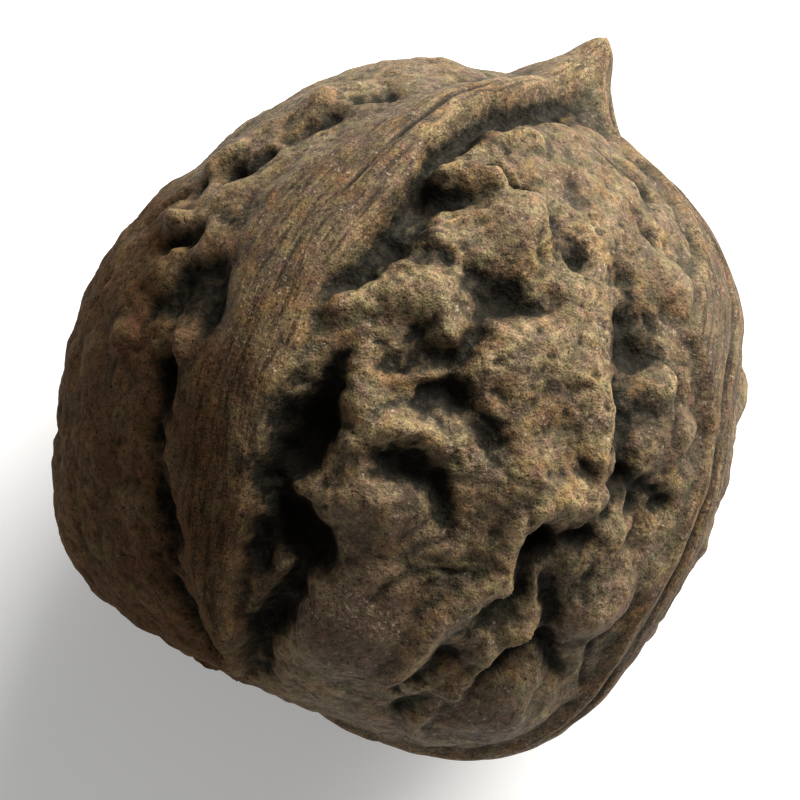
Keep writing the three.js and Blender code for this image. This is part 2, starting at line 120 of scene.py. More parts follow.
# Ridges, each a line of points: [x, y, half width, height].
RIDGES = [
    [[1.9, 11.1, 0.5, 0.7], [4.3, 10.8, 0.6, 0.9]],
    [[4.3, 13.0, 0.5, 0.6], [6.1, 12.5, 0.7, 0.7]],
    [[-7.2, -10.1, 0.6, 0.5], [-5.75, -7.75, 0.6, 0.8]],
    [[-3.0, 4.6, 0.8, 0.5], [0.0, 5.3, 1.0, 0.7], [2.0, 4.9, 0.9, 0.6]],
    [[-2.6, -2.1, 0.6, 0.6], [0.0, -1.3, 0.8, 0.9], [1.4, -1.8, 0.7, 0.6]],
    [[9.2, 8.4, 1.3, 0.2], [9.4, 5.6, 1.4, 0.3], [8.9, 3.0, 1.4, 0.4], [9.5, 0.4, 1.2, 0.7],
     [9.9, -2.8, 0.9, 0.9]],
    [[9.8, -4.4, 0.9, 0.8], [7.7, -5.0, 1.0, 0.8], [5.8, -6.2, 0.9, 0.9], [4.9, -8.7, 0.9, 0.9],
     [3.0, -9.9, 0.9, 0.8], [1.3, -11.5, 0.8, 0.7], [-0.9, -13.3, 0.8, 0.5]],
    [[5.8, -11.2, 0.7, 0.7], [3.8, -13.2, 0.6, 0.6], [1.5, -14.8, 0.6, 0.6], [0.4, -15.9, 0.6, 0.5]],
    [[-9.5, 12.2, 1.1, 0.4], [-6.5, 14.0, 1.0, 0.4]],
]

# Pits, furrows and hairline creases, each a line of points: [x, y, half width, depth].
HOLLOWS = [
    [[8.8, 14.2, 0.9, 0.4], [7.8, 14.6, 1.1, 0.9], [6.4, 14.4, 1.1, 1.2], [5.0, 14.0, 0.9, 1.3],
     [3.6, 13.1, 0.8, 1.4], [2.5, 12.3, 0.7, 1.3], [1.3, 11.4, 0.6, 1.2], [0.9, 10.6, 0.6, 1.2]],
    [[4.7, 11.3, 0.6, 1.2], [6.0, 10.4, 0.5, 0.8]],
    [[0.9, 10.4, 0.9, 1.3], [2.7, 10.2, 0.8, 1.4]],
    [[1.5, 10.4, 0.9, 1.4], [0.3, 8.6, 0.8, 1.3], [-0.5, 7.2, 0.9, 1.4]],
    [[-3.5, 5.6, 0.6, 0.9], [-1.75, 6.2, 0.8, 1.1], [-0.5, 7.2, 0.8, 1.1]],
    [[-2.9, 1.9, 0.5, 1.2], [-3.8, 0.5, 0.8, 2.4], [-4.5, -1.3, 1.5, 3.0], [-5.4, -2.7, 1.3, 2.6],
     [-6.1, -4.0, 0.8, 1.9]],
    [[-4.6, -1.3, 1.2, 1.4], [-2.8, -1.7, 0.8, 0.9]],
    [[-6.4, -4.6, 0.9, 1.7], [-5.5, -6.0, 1.4, 2.4], [-4.2, -7.0, 1.3, 2.0], [-3.9, -8.0, 0.9, 1.2]],
    [[-7.1, -6.4, 0.9, 1.2], [-6.8, -8.0, 1.0, 1.5]],
    [[-4.4, -7.6, 0.9, 1.3], [-5.4, -9.2, 0.9, 1.6], [-6.9, -11.2, 1.1, 1.7], [-7.0, -13.2, 0.8, 1.1]],
    [[3.6, 6.0, 0.8, 1.1], [4.8, 5.3, 1.1, 1.7], [6.3, 4.9, 0.9, 1.3], [7.4, 4.9, 0.8, 0.8]],
    [[0.2, 6.9, 0.7, 0.9], [2.2, 6.5, 0.6, 0.7]],
    [[4.2, 5.0, 0.8, 1.0], [3.8, 3.2, 0.8, 1.0], [3.0, 1.9, 0.8, 1.0]],
    [[-0.2, 2.0, 0.9, 0.9], [0.9, 2.4, 1.2, 1.3], [2.2, 2.0, 0.9, 1.0]],
    [[1.2, 0.1, 0.9, 1.5], [2.7, 0.2, 1.1, 1.8]],
    [[3.2, -0.7, 0.7, 0.9], [4.2, -1.6, 0.9, 1.3], [4.9, -3.0, 0.7, 0.7]],
    [[0.1, -3.1, 0.9, 1.3], [1.1, -3.4, 0.9, 1.5], [1.9, -5.0, 0.8, 1.0], [2.4, -6.2, 0.6, 0.5]],
    [[11.0, 5.6, 1.2, 0.8], [11.4, 3.8, 1.7, 1.3], [11.4, 1.8, 1.7, 1.3], [11.2, 0.0, 1.1, 1.1],
     [11.1, -2.2, 0.8, 1.0], [10.9, -3.6, 0.8, 1.4]],
    [[10.6, -4.2, 0.8, 1.4], [11.8, -4.6, 1.1, 1.5], [12.9, -4.9, 0.8, 1.1]],
    [[10.7, -4.2, 0.7, 1.7], [10.4, -5.4, 0.6, 1.2]],
    [[9.0, -6.5, 0.7, 1.2], [8.1, -6.8, 0.7, 1.6]],
    [[6.7, -6.8, 0.8, 2.1], [6.3, -7.7, 0.9, 1.9], [5.7, -9.5, 0.8, 1.1], [4.2, -11.0, 0.6, 0.8],
     [2.4, -12.4, 0.6, 0.7], [1.0, -13.6, 0.5, 0.6]],
    [[7.4, -7.2, 0.4, 0.9], [7.5, -9.4, 0.6, 1.4], [7.4, -12.2, 0.6, 1.2], [7.7, -15.2, 0.3, 0.5]],
    [[6.9, -11.9, 0.8, 1.2], [5.4, -12.3, 0.8, 1.2], [3.2, -13.9, 0.6, 0.8]],
    [[0.1, -15.0, 0.7, 0.7], [1.9, -14.6, 0.7, 0.7]],
    [[12.4, -5.6, 0.8, 0.9], [11.7, -7.2, 0.7, 0.7]],
    [[-0.9, -9.2, 0.3, 0.35], [0.6, -8.3, 0.3, 0.4], [2.4, -8.4, 0.25, 0.3]],
    [[-3.6, -12.6, 0.3, 0.3], [-1.2, -13.2, 0.3, 0.35], [0.2, -14.4, 0.25, 0.3]],
    [[8.6, -13.6, 0.3, 0.35], [9.4, -11.8, 0.3, 0.4], [10.9, -10.6, 0.25, 0.3]],
    [[12.6, 2.2, 0.3, 0.4], [13.4, 0.4, 0.3, 0.4], [13.2, -1.6, 0.25, 0.35]],
    [[10.0, 12.6, 0.7, 0.5], [12.0, 10.4, 0.8, 0.6]],
    [[8.4, 10.6, 0.6, 0.6], [9.3, 8.7, 0.6, 0.4]],
    [[7.6, 8.6, 0.6, 0.5], [8.8, 6.6, 0.7, 0.9]],
    [[11.4, 9.6, 0.5, 0.5], [12.0, 8.3, 0.6, 0.6]],
    [[-1.9, 14.9, 0.8, 0.9], [-0.6, 15.2, 0.8, 0.8]],
    [[-5.2, 13.4, 0.9, 0.9], [-3.6, 14.0, 0.7, 0.7]],
    [[-8.6, 11.4, 0.9, 1.2], [-6.8, 12.4, 0.8, 1.0]],
    [[-13.0, 9.25, 0.6, 0.6], [-10.5, 10.75, 0.6, 0.7]],
    [[-11.6, 7.6, 0.8, 0.9], [-10.4, 8.2, 0.7, 0.9]],
    [[-12.0, 4.6, 0.9, 0.8], [-10.6, 5.5, 1.4, 1.1], [-9.4, 5.8, 1.3, 1.1], [-9.0, 3.8, 1.0, 0.8]],
    [[-11.6, 1.6, 0.7, 1.6], [-11.5, 0.0, 0.6, 0.8], [-11.9, -2.0, 0.8, 1.0], [-11.8, -4.5, 0.9, 1.2],
     [-11.4, -6.5, 0.8, 1.2], [-11.0, -7.8, 0.6, 1.0]],
    [[-11.6, -7.9, 0.6, 0.9], [-10.6, -9.9, 0.6, 1.0], [-9.9, -11.6, 0.6, 1.0], [-8.9, -12.8, 0.5, 0.9],
     [-7.2, -14.4, 0.5, 0.7]],
]

# Soft stains: [x, y, radius, strength].
SOFT_STAINS = [
    [11.6, 2.8, 2.4, 0.9], [11.7, -1.2, 2.2, 0.8], [8.6, -7.6, 3.0, 0.9], [2.9, -0.4, 2.2, 0.6],
    [1.2, -4.2, 2.0, 0.9], [4.8, 5.4, 2.0, 0.8], [0.8, 7.2, 1.8, 0.8], [-3.2, 14.2, 2.4, 0.8],
    [-7.6, 12.0, 2.2, 0.7], [-10.4, 5.2, 2.6, 1.0], [-11.4, 1.4, 1.6, 0.8], [-6.2, -10.0, 2.4, 0.5],
    [5.6, 13.6, 2.4, 0.8], [2.0, 11.2, 1.8, 0.7], [4.0, -15.6, 2.6, 0.5], [-4.8, -6.8, 2.4, 0.8],
    [11.0, 11.4, 1.8, 0.5], [1.6, 2.6, 1.8, 0.4], [7.4, -12.6, 1.8, 0.6], [-0.6, 9.2, 1.4, 0.9],
    [7.6, 14.2, 2.0, 0.8], [8.0, 7.4, 1.6, 0.5],
]

# Floors of pits painted near black, partly dirt and partly painted shade: [x, y, radius, strength].
PIT_FLOORS_DIRT_AND_SHADE = [
    [-5.2, -0.9, 1.9, 1.8], [-6.2, -3.4, 1.7, 1.8], [-5.6, -6.0, 1.6, 1.4], [-6.6, -11.0, 1.2, 1.2],
    [5.5, 4.6, 1.1, 1.4], [2.3, 0.1, 1.1, 1.2], [0.9, 1.9, 0.9, 1.0], [3.4, -1.5, 0.8, 1.2],
    [-0.1, -3.2, 1.1, 1.3], [1.8, -5.2, 0.9, 1.1], [10.9, 3.2, 1.4, 1.2], [11.0, -4.0, 1.1, 1.4],
    [8.4, -6.4, 1.1, 1.4], [6.7, -7.4, 1.2, 1.6], [7.6, -10.6, 0.8, 1.3], [4.0, 12.9, 1.0, 1.3],
    [1.2, 10.4, 1.1, 1.4], [-0.5, 7.4, 1.1, 1.4], [-2.5, 5.9, 0.7, 1.1], [-10.3, 4.8, 1.3, 1.4],
    [-11.5, 0.9, 1.0, 1.4], [-0.9, 15.0, 1.0, 1.1], [-6.8, 12.5, 1.0, 1.1],
]

# Smooth mauve-brown places: [x, y, radius, strength].
SMOOTH_PLACES = [
    [-2.4, -10.4, 3.8, 1.0], [3.8, -14.8, 2.5, 0.9], [-1.2, -5.6, 2.2, 0.7], [9.0, -11.2, 2.4, 0.6],
    [12.9, -1.6, 1.8, 0.7], [13.2, 3.6, 1.8, 0.5], [5.0, 8.4, 1.8, 0.5], [8.6, 10.2, 2.2, 0.4],
]

# How many times its stated radius or half width each kind of form reaches.
PLACE_SPREAD = 1.5
LOBE_SPREAD = 1.3
RIDGE_SPREAD = 1.5
FUNNEL_SPREAD = 2.4
PIT_SPREAD = 1.3

# Hollows are cut no deeper than this. Over the millimetre past the second depth, a hollow becomes even.
DEEPEST_HOLLOW = 3.0
EVEN_DEPTH = 1.6

# Ridges and hollows are cut into pieces of about this length or a little longer.
TRACE_PIECE = 2.5

# The share of a seam band's soft edge that lies outside its half width.
SOFT_OUTSIDE = 0.45

# Large factors that scramble the place of a noise cell, and what brings the noise to about -1 to 1.
CELL_FACTORS = [374761393, 668265263, 2147483629]
SEED_FACTOR = 974634777
MIX_FACTORS = [1274126177, 2246822519]
NOISE_GAIN = 1.4

# Layers of noise: [size, height or share, seed].
WANDER_LAYERS = [[3.0, 0.55, 11], [1.4, 0.28, 21]]
RAGGED_LAYERS = [[0.6, 1.0, 61]]
LUMP_LAYERS = [[3.4, 0.62, 31], [1.7, 0.32, 32]]
FINE_LAYERS = [[1.1, 0.25, 71], [0.6, 0.17, 72], [0.34, 0.12, 73]]

# Single patterns of noise: [size, seed].
LUMP_PATCHES = [6.0, 51]
HOLLOW_PATCHES = [1.8, 91]
CRACK_PATCHES = [2.5, 81]
BAND_WAVES = [1.6, 41]
PORES = [0.9, 95]
FIBRES = [0.9, 97]

# How far the relief and the edges of seam bands stray with the wandering and the ragged noise.
RELIEF_RAGGED = 0.14
EDGE_WANDER = 0.35
EDGE_RAGGED = 0.04

# The relief changes from the face's kind to the back's within this share of the radius behind the middle.
BACK_BEHIND = 0.4

# Heights of the skin, and how much the tops of the back's tall lumps are levelled.
FACE_LUMP_HEIGHT = 0.85
BACK_LUMP_HEIGHT = 2.5
BACK_LUMP_LEVELLING = 0.45
BAND_WAVE_HEIGHT = 0.1
PORE_DEPTH = 0.16
FIBRE_HEIGHT = 0.16

# How many times their width the fibres are drawn out, and the middle value of folded noise.
FIBRE_DRAW = 7.0
FOLD_MIDDLE = 0.25

# The share of the lumps, and of the pits and wrinkles, that a seam band hides.
BAND_HIDES_LUMPS = 0.9
BAND_HIDES_RELIEF = 0.85

# The fine relief is roughest around this place on the face.
ROUGHEST_PLACE = [4.5, 3.5]
ROUGH_REACH = 13.0

# Colours of the shell, in steps from 0 to 255.
LOW_BROWN = (58, 50, 36)
PROUD_TAN = (155, 133, 96)
OCHRE = (144, 108, 62)
MAUVE = (106, 84, 72)
OLIVE = (76, 72, 54)
RED_BROWN = (91, 65, 45)
SMOOTH_BROWN = (88, 69, 56)
GRAIN_BROWN = (46, 36, 22)
FIBRE_BROWN = (40, 31, 20)
PORE_BLACK = (20, 18, 13)
FLECK_CREAM = (184, 172, 146)
# Dirt and painted shade in the hollows; the deepest is painted near black.
DIRT_AND_SHADE_BLACK = (20, 20, 17)
DIRT_AND_SHADE_GRIT = (50, 47, 39)
DEEPEST_DIRT_AND_SHADE = (13, 13, 11)
CRACK_BROWN = (28, 23, 16)

# Tints that the skin's colour is multiplied by.
BAND_TINT = (0.84, 0.79, 0.77, 1.0)
# Painted shade: this tint darkens the left side of the nut.
PAINTED_SHADE_TINT = (0.74, 0.69, 0.69, 1.0)
PINK_TINT = (1.06, 0.965, 1.03, 1.0)
GREEN_TINT = (0.95, 1.025, 0.94, 1.0)

# Skin finish, and the heights of its bumps in metres.
SKIN_ROUGHNESS = 0.7
CREASE_SIZE = 0.9
SPECK_BUMP = 0.00010
GRAIN_BUMP = 0.00024
CREASE_BUMP = 0.00018
STREAK_BUMP = 0.0003

# The fine and the broad relief are how far the shell stands out from its own form after this many rounds of
# blurring, counted in steps of this many millimetres.
FINE_ROUNDS = 8
FINE_STEP = 0.12
BROAD_ROUNDS = 120
BROAD_STEP = 0.6

# Floor, light and lens, in metres. The picture is this wide at the nut.
FLOOR_SIZE = 4.0
FLOOR_COLOUR = (0.86, 0.86, 0.85, 1.0)
FLOOR_ROUGHNESS = 0.9
FLOOR_GLOW = 0.25
WHITE = (1.0, 1.0, 1.0, 1.0)
SKY_STRENGTH = 0.2
KEY_DIRECTION = (0.57, 0.79, 0.42)
KEY_POWER = 5.1
KEY_SIZE = 0.34
KEY_COLOUR = (1.0, 0.99, 0.97)
LAMP_DISTANCE = 0.4
FOCAL_LENGTH = 300.0
SENSOR_WIDTH = 36.0
PICTURE_WIDTH = 0.040


def clamp01(t):
    return np.clip(t, 0.0, 1.0)


def ease(t):
    """A smooth step from 0 to 1."""
    t = clamp01(t)
    return t * t * (3.0 - 2.0 * t)


def dome(t):
    """A rounded bump, 1 in its middle and 0 from t = 1 on."""
    return (1.0 - clamp01(t) ** 2) ** 2


def steep_pit(t):
    """A flat-bottomed pit with steep sides, 0 from t = 1 on."""
    return ease((1.0 - t) / 0.8)


def unit(vectors):
    vectors = np.asarray(vectors, dtype=float)
    return vectors / np.linalg.norm(vectors, axis=-1, keepdims=True)


def tip_direction():
    lean = math.radians(BEAK_LEAN)
    back = math.radians(BEAK_BACK)
    return np.array([math.cos(back) * math.cos(lean), math.cos(back) * math.sin(lean), -math.sin(back)])


TIP = tip_direction()
FRONT = unit(np.array([0.0, 0.0, 1.0]) - TIP[2] * TIP)
RIGHT = np.cross(TIP, FRONT)
UP_SHARE = math.sin(math.radians(FACE_ELEVATION))
AWAY_SHARE = math.cos(math.radians(FACE_ELEVATION))
DOWN = np.array([0.0, -AWAY_SHARE, -UP_SHARE])
MIDDLE = Vector((0.0, 0.0, REST_DEPTH / 1000.0))


def on_face(x, y):
    """The point of the ball that is seen at x and y on the face."""
    depth = math.sqrt(max(BODY_RADIUS ** 2 - x * x - y * y, 0.0))
    return unit([x, y, depth]) * BODY_RADIUS


def trace_on_face(rows):
    """Rows of [x, y, half width, size], cut into short pieces that follow the ball."""
    points = []
    for start, end in zip(rows, rows[1:] + rows[-1:]):
        start = np.array(start, dtype=float)
        end = np.array(end, dtype=float)
        pieces = max(1, int(np.hypot(*(end[:2] - start[:2])) / TRACE_PIECE))
        for n in range(pieces):
            row = start + (end - start) * n / pieces
            points.append(np.concatenate([on_face(row[0], row[1]), row[2:]]))
    return np.array(points)


def nearest_on(line, points):
    """Distance to a line, and the half width and size met at its nearest point."""
    best = np.full(len(points), np.inf)
    width = np.ones(len(points))
    size = np.zeros(len(points))
    for start, end in zip(line[:-1], line[1:]):
        step = end[:3] - start[:3]
        along = clamp01((points - start[:3]) @ step / max(step @ step, 1e-9))
        distance = np.linalg.norm(points - start[:3] - along[:, None] * step, axis=1)
        closer = distance < best
        best = np.where(closer, distance, best)
        width = np.where(closer, start[3] + along * (end[3] - start[3]), width)
        size = np.where(closer, start[4] + along * (end[4] - start[4]), size)
    return best, width, size


def scramble(cells, seed):
    """A whole number for each cell of a grid."""
    factors = np.array(CELL_FACTORS, dtype=np.uint32)
    mixed = (cells.astype(np.uint32) * factors).sum(axis=1, dtype=np.uint32)
    mixed = mixed + np.uint32(seed * SEED_FACTOR % 2 ** 32)
    mixed = (mixed ^ (mixed >> np.uint32(13))) * np.uint32(MIX_FACTORS[0])
    mixed = (mixed ^ (mixed >> np.uint32(16))) * np.uint32(MIX_FACTORS[1])
    return mixed ^ (mixed >> np.uint32(15))


def noise(points, size, seed):
    """Smooth seeded noise, about -1 to 1."""
    place = points / size
    cell = np.floor(place).astype(np.int64)
    inside = place - cell
    eased = inside ** 3 * (inside * (inside * 6 - 15) + 10)
    total = np.zeros(len(points))
    for corner in range(8):
        step = np.array([corner & 1, (corner >> 1) & 1, corner >> 2])
        mixed = scramble((cell + step) & 0xFFFFFFFF, seed)
        slope = np.zeros(len(points))
        weight = np.ones(len(points))
        for i in range(3):
            pull = ((mixed >> np.uint32(10 * i)) & np.uint32(1023)) / 511.5 - 1.0
            slope += pull * (inside[:, i] - step[i])
            weight *= eased[:, i] if step[i] else 1.0 - eased[:, i]
        total += weight * slope
    return total * NOISE_GAIN


def folded(points, size, seed):
    """Noise folded up at zero: rounded lumps with sharp creases between them."""
    return np.abs(noise(points, size, seed))


def stray(points, layers):
    """How far each point strays along x, y and z, summed from layers of noise."""
    return np.stack([
        sum(share * noise(points, size, seed + i) for size, share, seed in layers) for i in range(3)
    ], axis=1)


def row_at(table, latitude):
    """Each column of a suture's table, read at these latitudes."""
    table = np.array(table, dtype=float)[::-1]
    return [np.interp(latitude, table[:, 0], table[:, i]) for i in range(1, table.shape[1])]


def latitude_of(directions):
    return np.degrees(np.arcsin(np.clip(directions @ TIP, -1.0, 1.0)))


def longitude_of(directions):
    return np.degrees(np.arctan2(directions @ RIGHT, directions @ FRONT))


def direction_at(longitude, latitude):
    longitude = np.radians(longitude)[:, None]
    latitude = np.radians(latitude)[:, None]
    level = np.cos(longitude) * FRONT + np.sin(longitude) * RIGHT
    return np.cos(latitude) * level + np.sin(latitude) * TIP


def turn_from(line, directions):
    """Degrees of longitude from a suture's line, -180 to 180."""
    return (longitude_of(directions) - line + 540.0) % 360.0 - 180.0


def from_suture(table, directions, softness):
    """How far each direction lies across a suture in mm, and its share of the suture's band."""
    latitude = latitude_of(directions)
    line, low_width, high_width = row_at(table, latitude)
    turn = turn_from(line, directions)
    bend = np.radians(np.minimum(90.0, np.abs(turn)))
    across = BODY_RADIUS * np.cos(np.radians(latitude)) * np.sin(bend)
    half_width = np.where(turn < 0, low_width, high_width)
    soft = np.where(turn < 0, softness[0], softness[1])
    return across, ease((half_width + SOFT_OUTSIDE * soft - across) / soft)


def fibre_place(directions):
    """A place in mm that runs across the nearest suture and, drawn out, along it."""
    latitude = latitude_of(directions)
    best = np.full(len(directions), np.inf)
    for suture in SUTURES:
        turn = turn_from(row_at(suture["rows"], latitude)[0], directions)
        across = np.radians(turn) * BODY_RADIUS * np.cos(np.radians(latitude))
        best = np.where(np.abs(across) < np.abs(best), across, best)
    along = np.radians(latitude) * BODY_RADIUS / FIBRE_DRAW
    return np.stack([best, along, np.zeros(len(directions))], axis=1)


def places_share(rows, points):
    """How far each point lies inside any of these places on the face."""
    share = np.zeros(len(points))
    for x, y, reach, strength in rows:
        distance = np.linalg.norm(points - on_face(x, y), axis=1)
        share = np.maximum(share, strength * dome(distance / (PLACE_SPREAD * reach)))
    return share


def body_radius(points):
    """Radius of the ball with its swellings and flats."""
    radius = np.full(len(points), BODY_RADIUS)
    for turn, out, reach, height in SWELLINGS:
        turn = math.radians(turn)
        middle = unit([math.cos(turn), math.sin(turn), out]) * BODY_RADIUS
        radius += height * np.exp(-(np.linalg.norm(points - middle, axis=1) / reach) ** 2)
    return radius


def lump_relief(points, loose, face, smooth):
    """Seeded lumps: low and patchy on the face, and tall but levelled at their tops on the back."""
    lumps = sum(share * folded(loose, size, seed) for size, share, seed in LUMP_LAYERS)
    patch = (1.0 - 0.5 * smooth) * (0.6 + 0.4 * ease(0.5 + noise(points, *LUMP_PATCHES)))
    height = face * FACE_LUMP_HEIGHT * patch + (1.0 - face) * BACK_LUMP_HEIGHT
    levelling = (1.0 - face) * BACK_LUMP_LEVELLING * lumps ** 2
    return height * (lumps - levelling - FOLD_MIDDLE)


def raised_relief(loose):
    """The lobes and ridges."""
    relief = np.zeros(len(loose))
    for x, y, reach, height in LOBES:
        distance = np.linalg.norm(loose - on_face(x, y), axis=1)
        relief += height * dome(distance / (LOBE_SPREAD * reach))
    for rows in RIDGES:
        distance, width, size = nearest_on(trace_on_face(rows), loose)
        relief += size * dome(distance / (RIDGE_SPREAD * width))
    return relief


def hollow_depth(points, loose):
    """Depth of the pits and furrows. The shallow ones are uneven along their length."""
    patchy = 0.6 + 0.4 * ease(0.5 + 1.2 * noise(points, *HOLLOW_PATCHES))
    cut = np.zeros(len(points))
    for rows in HOLLOWS:
        distance, width, size = nearest_on(trace_on_face(rows), loose)
        funnel = 0.4 * dome(distance / (FUNNEL_SPREAD * width))
        funnel += 0.6 * steep_pit(distance / (PIT_SPREAD * width))
        depth = size * (patchy + (1.0 - patchy) * ease(size - EVEN_DEPTH))
        cut = np.hypot(cut, depth * funnel)
    return np.minimum(cut, DEEPEST_HOLLOW)


def suture_relief(points, directions, bands):
    """Height of the seam bands less the cracks along them, and how far each point lies in a crack."""
    relief = np.zeros(len(points))
    cracks = np.zeros(len(points))
    size, seed = CRACK_PATCHES
    latitude = latitude_of(directions)
    for i, (suture, (across, share)) in enumerate(zip(SUTURES, bands)):
        relief += share * (suture["height"] + suture["crest"] * dome(across / CREST_REACH))
        off_line = from_suture(suture["rows"], directions, [1.0, 1.0])[0]
        broken = ease(0.55 + 0.9 * noise(points, size, seed + i))
        crack = share * broken * dome(off_line / suture["crack_half_width"])
        crack *= np.interp(latitude, *suture["crack_open"])
        relief -= suture["crack_depth"] * crack
        cracks = np.maximum(cracks, crack)
    return relief, cracks


def roughness_share(points, face, smooth):
    """How rough the fine relief is: most in the middle of the face, less on the back, least where smooth."""
    distance = np.linalg.norm(points - on_face(*ROUGHEST_PLACE), axis=1)
    rough = 0.4 + 0.6 * ease(1.3 - distance / ROUGH_REACH)
    return np.maximum(rough, 0.8 * (1.0 - face)) * (1.0 - 0.7 * smooth)


def fine_relief(loose):
    """The finest wrinkles."""
    return sum(height * (FOLD_MIDDLE - folded(loose, size, seed)) for size, height, seed in FINE_LAYERS)


def fibre_relief(directions, fibre):
    """Fibres drawn along the seam bands, which end short of the beak and the base."""
    share = ease((85.0 - np.abs(latitude_of(directions))) / 15.0)
    return share * FIBRE_HEIGHT * (FOLD_MIDDLE - folded(fibre, *FIBRES))


def beak_height(directions, from_tip):
    """Height of the beak this far from its tip."""
    longitude = longitude_of(directions)
    reach = BEAK_REACH - BEAK_LOPSIDED * np.sin(np.radians(longitude))
    reach += BEAK_SPUR * dome(np.abs(longitude - BEAK_SPUR_LONGITUDE) / BEAK_SPUR_HALF_WIDTH)
    return BEAK_HEIGHT * clamp01(1.0 - from_tip / reach) ** BEAK_SHARPNESS


def rest_radius(directions):
    """Radius of the flat that the nut rests on, which is endless away from it."""
    sinks = directions @ DOWN
    return np.where(sinks > 0.5, REST_DEPTH / np.maximum(sinks, 0.5), np.inf)


def painted_shade_share(directions):
    """Share of painted shade on the left side, a little less at its very edge."""
    painted_shade = ease((-directions[:, 0] - 0.4 * np.maximum(directions[:, 1], 0.0) - 0.1) / 0.6)
    return painted_shade * (1.0 - 0.15 * ease((-directions[:, 0] - 0.72) / 0.22))


def shell(directions):
    """Radius of the shell in each direction, places along its fibres, and the shares its colours use."""
    points = directions * BODY_RADIUS
    wander = stray(points, WANDER_LAYERS)
    ragged = stray(points, RAGGED_LAYERS)
    loose = unit(points + wander + RELIEF_RAGGED * ragged) * BODY_RADIUS
    edge = unit(points + EDGE_WANDER * wander + EDGE_RAGGED * ragged)
    fibre = fibre_place(directions)

    bands = [from_suture(suture["rows"], edge, suture["softness"]) for suture in SUTURES]
    band = np.maximum.reduce([share for _, share in bands])
    face = ease((directions[:, 2] + BACK_BEHIND) / BACK_BEHIND)
    smooth = places_share(SMOOTH_PLACES, loose)
    rough = roughness_share(points, face, smooth)
    pore = (1.0 - band) * rough * ease((noise(loose, *PORES) - 0.3) / 0.3)
    cut = (1.0 - BAND_HIDES_RELIEF * band) * hollow_depth(points, loose)
    seam, cracks = suture_relief(points, directions, bands)

    relief = (1.0 - BAND_HIDES_LUMPS * band) * lump_relief(points, loose, face, smooth)
    relief += (1.0 - band) * raised_relief(loose) - cut + seam
    relief += band * BAND_WAVE_HEIGHT * noise(points, *BAND_WAVES)
    relief += (1.0 - BAND_HIDES_RELIEF * band) * rough * fine_relief(loose)
    relief += band * fibre_relief(directions, fibre) - PORE_DEPTH * pore

    # The relief fades toward the tip of the beak and round the resting spot.
    from_tip = np.linalg.norm(points - TIP * BODY_RADIUS, axis=1)
    relief = relief * ease((from_tip + 1.2) / 4.0) + beak_height(directions, from_tip)
    from_rest = np.linalg.norm(points - DOWN * BODY_RADIUS, axis=1)
    relief *= ease((from_rest - REST_CALM_INNER) / (REST_CALM_OUTER - REST_CALM_INNER))
    radius = np.minimum(body_radius(points) + relief, rest_radius(directions))

    shares = {
        "band": band,
        "pore": pore,
        # Real stains, with pit floors painted dark as partly dirt and partly painted shade.
        "stain_and_shade": places_share(SOFT_STAINS + PIT_FLOORS_DIRT_AND_SHADE, loose),
        "smooth": smooth,
        "cut": cut / DEEPEST_HOLLOW,
        "crack": cracks,
        # Painted shade, darkest on the left side.
        "painted_shade": painted_shade_share(directions),
        "rough": rough * (1.0 - 0.6 * band),
    }
    return radius, fibre, shares


def mesh_directions(cube):
    """Directions for points on a cube, its columns turned so that mesh lines run along the three sutures."""
    latitude = np.degrees(np.arcsin(unit(cube)[:, 2]))
    column = np.degrees(np.arctan2(cube[:, 1], cube[:, 0])) % 360.0
    near_line, right_line, back_line = [row_at(suture["rows"], latitude)[0] for suture in SUTURES]
    to_right = near_line + (right_line - near_line) * column / 90.0
    to_back = right_line + (back_line - right_line) * (column - 90.0) / 135.0
    to_near = back_line + (near_line + 360.0 - back_line) * (column - 225.0) / 135.0
    longitude = np.where(column < 90.0, to_right, np.where(column < 225.0, to_back, to_near))
    return direction_at(longitude, latitude)


def cube_grid():
    """Points and four-cornered cells of a cube's surface, its six faces joined."""
    steps = np.tan(np.linspace(-1.0, 1.0, CELLS + 1) * math.pi / 4)
    row, column = np.meshgrid(np.arange(CELLS + 1), np.arange(CELLS + 1), indexing="ij")
    keys = []
    places = []
    cells = []
    for axis in range(3):
        for sign in (-1, 1):
            grid = np.zeros((CELLS + 1, CELLS + 1, 3), dtype=np.int64)
            grid[..., axis] = sign * CELLS
            grid[..., (axis + 1) % 3] = 2 * row - CELLS
            grid[..., (axis + 2) % 3] = 2 * column - CELLS
            place = np.zeros((CELLS + 1, CELLS + 1, 3))
            place[..., axis] = sign
            place[..., (axis + 1) % 3] = steps[row]
            place[..., (axis + 2) % 3] = steps[column]
            ids = np.arange(row.size).reshape(row.shape) + len(keys) * row.size
            corners = np.stack([ids[:-1, :-1], ids[1:, :-1], ids[1:, 1:], ids[:-1, 1:]], axis=-1)
            cells.append((corners if sign > 0 else corners[..., ::-1]).reshape(-1, 4))
            keys.append(grid.reshape(-1, 3))
            places.append(place.reshape(-1, 3))
    _, first, back = np.unique(np.concatenate(keys), axis=0, return_index=True, return_inverse=True)
    back = back.reshape(-1)
    return np.concatenate(places)[first], back[np.concatenate(cells)]


def blurred(values, cells, rounds):
    """Values spread over neighbouring vertices this many times."""
    ends = np.concatenate([cells[:, [0, 1]], cells[:, [1, 2]], cells[:, [2, 3]], cells[:, [3, 0]]])
    ends = np.concatenate([ends, ends[:, ::-1]])
    count = np.bincount(ends[:, 0], minlength=len(values))
    for _ in range(rounds):
        near = np.bincount(ends[:, 0], weights=values[ends[:, 1]], minlength=len(values)) / count
        values = 0.4 * values + 0.6 * near
    return values


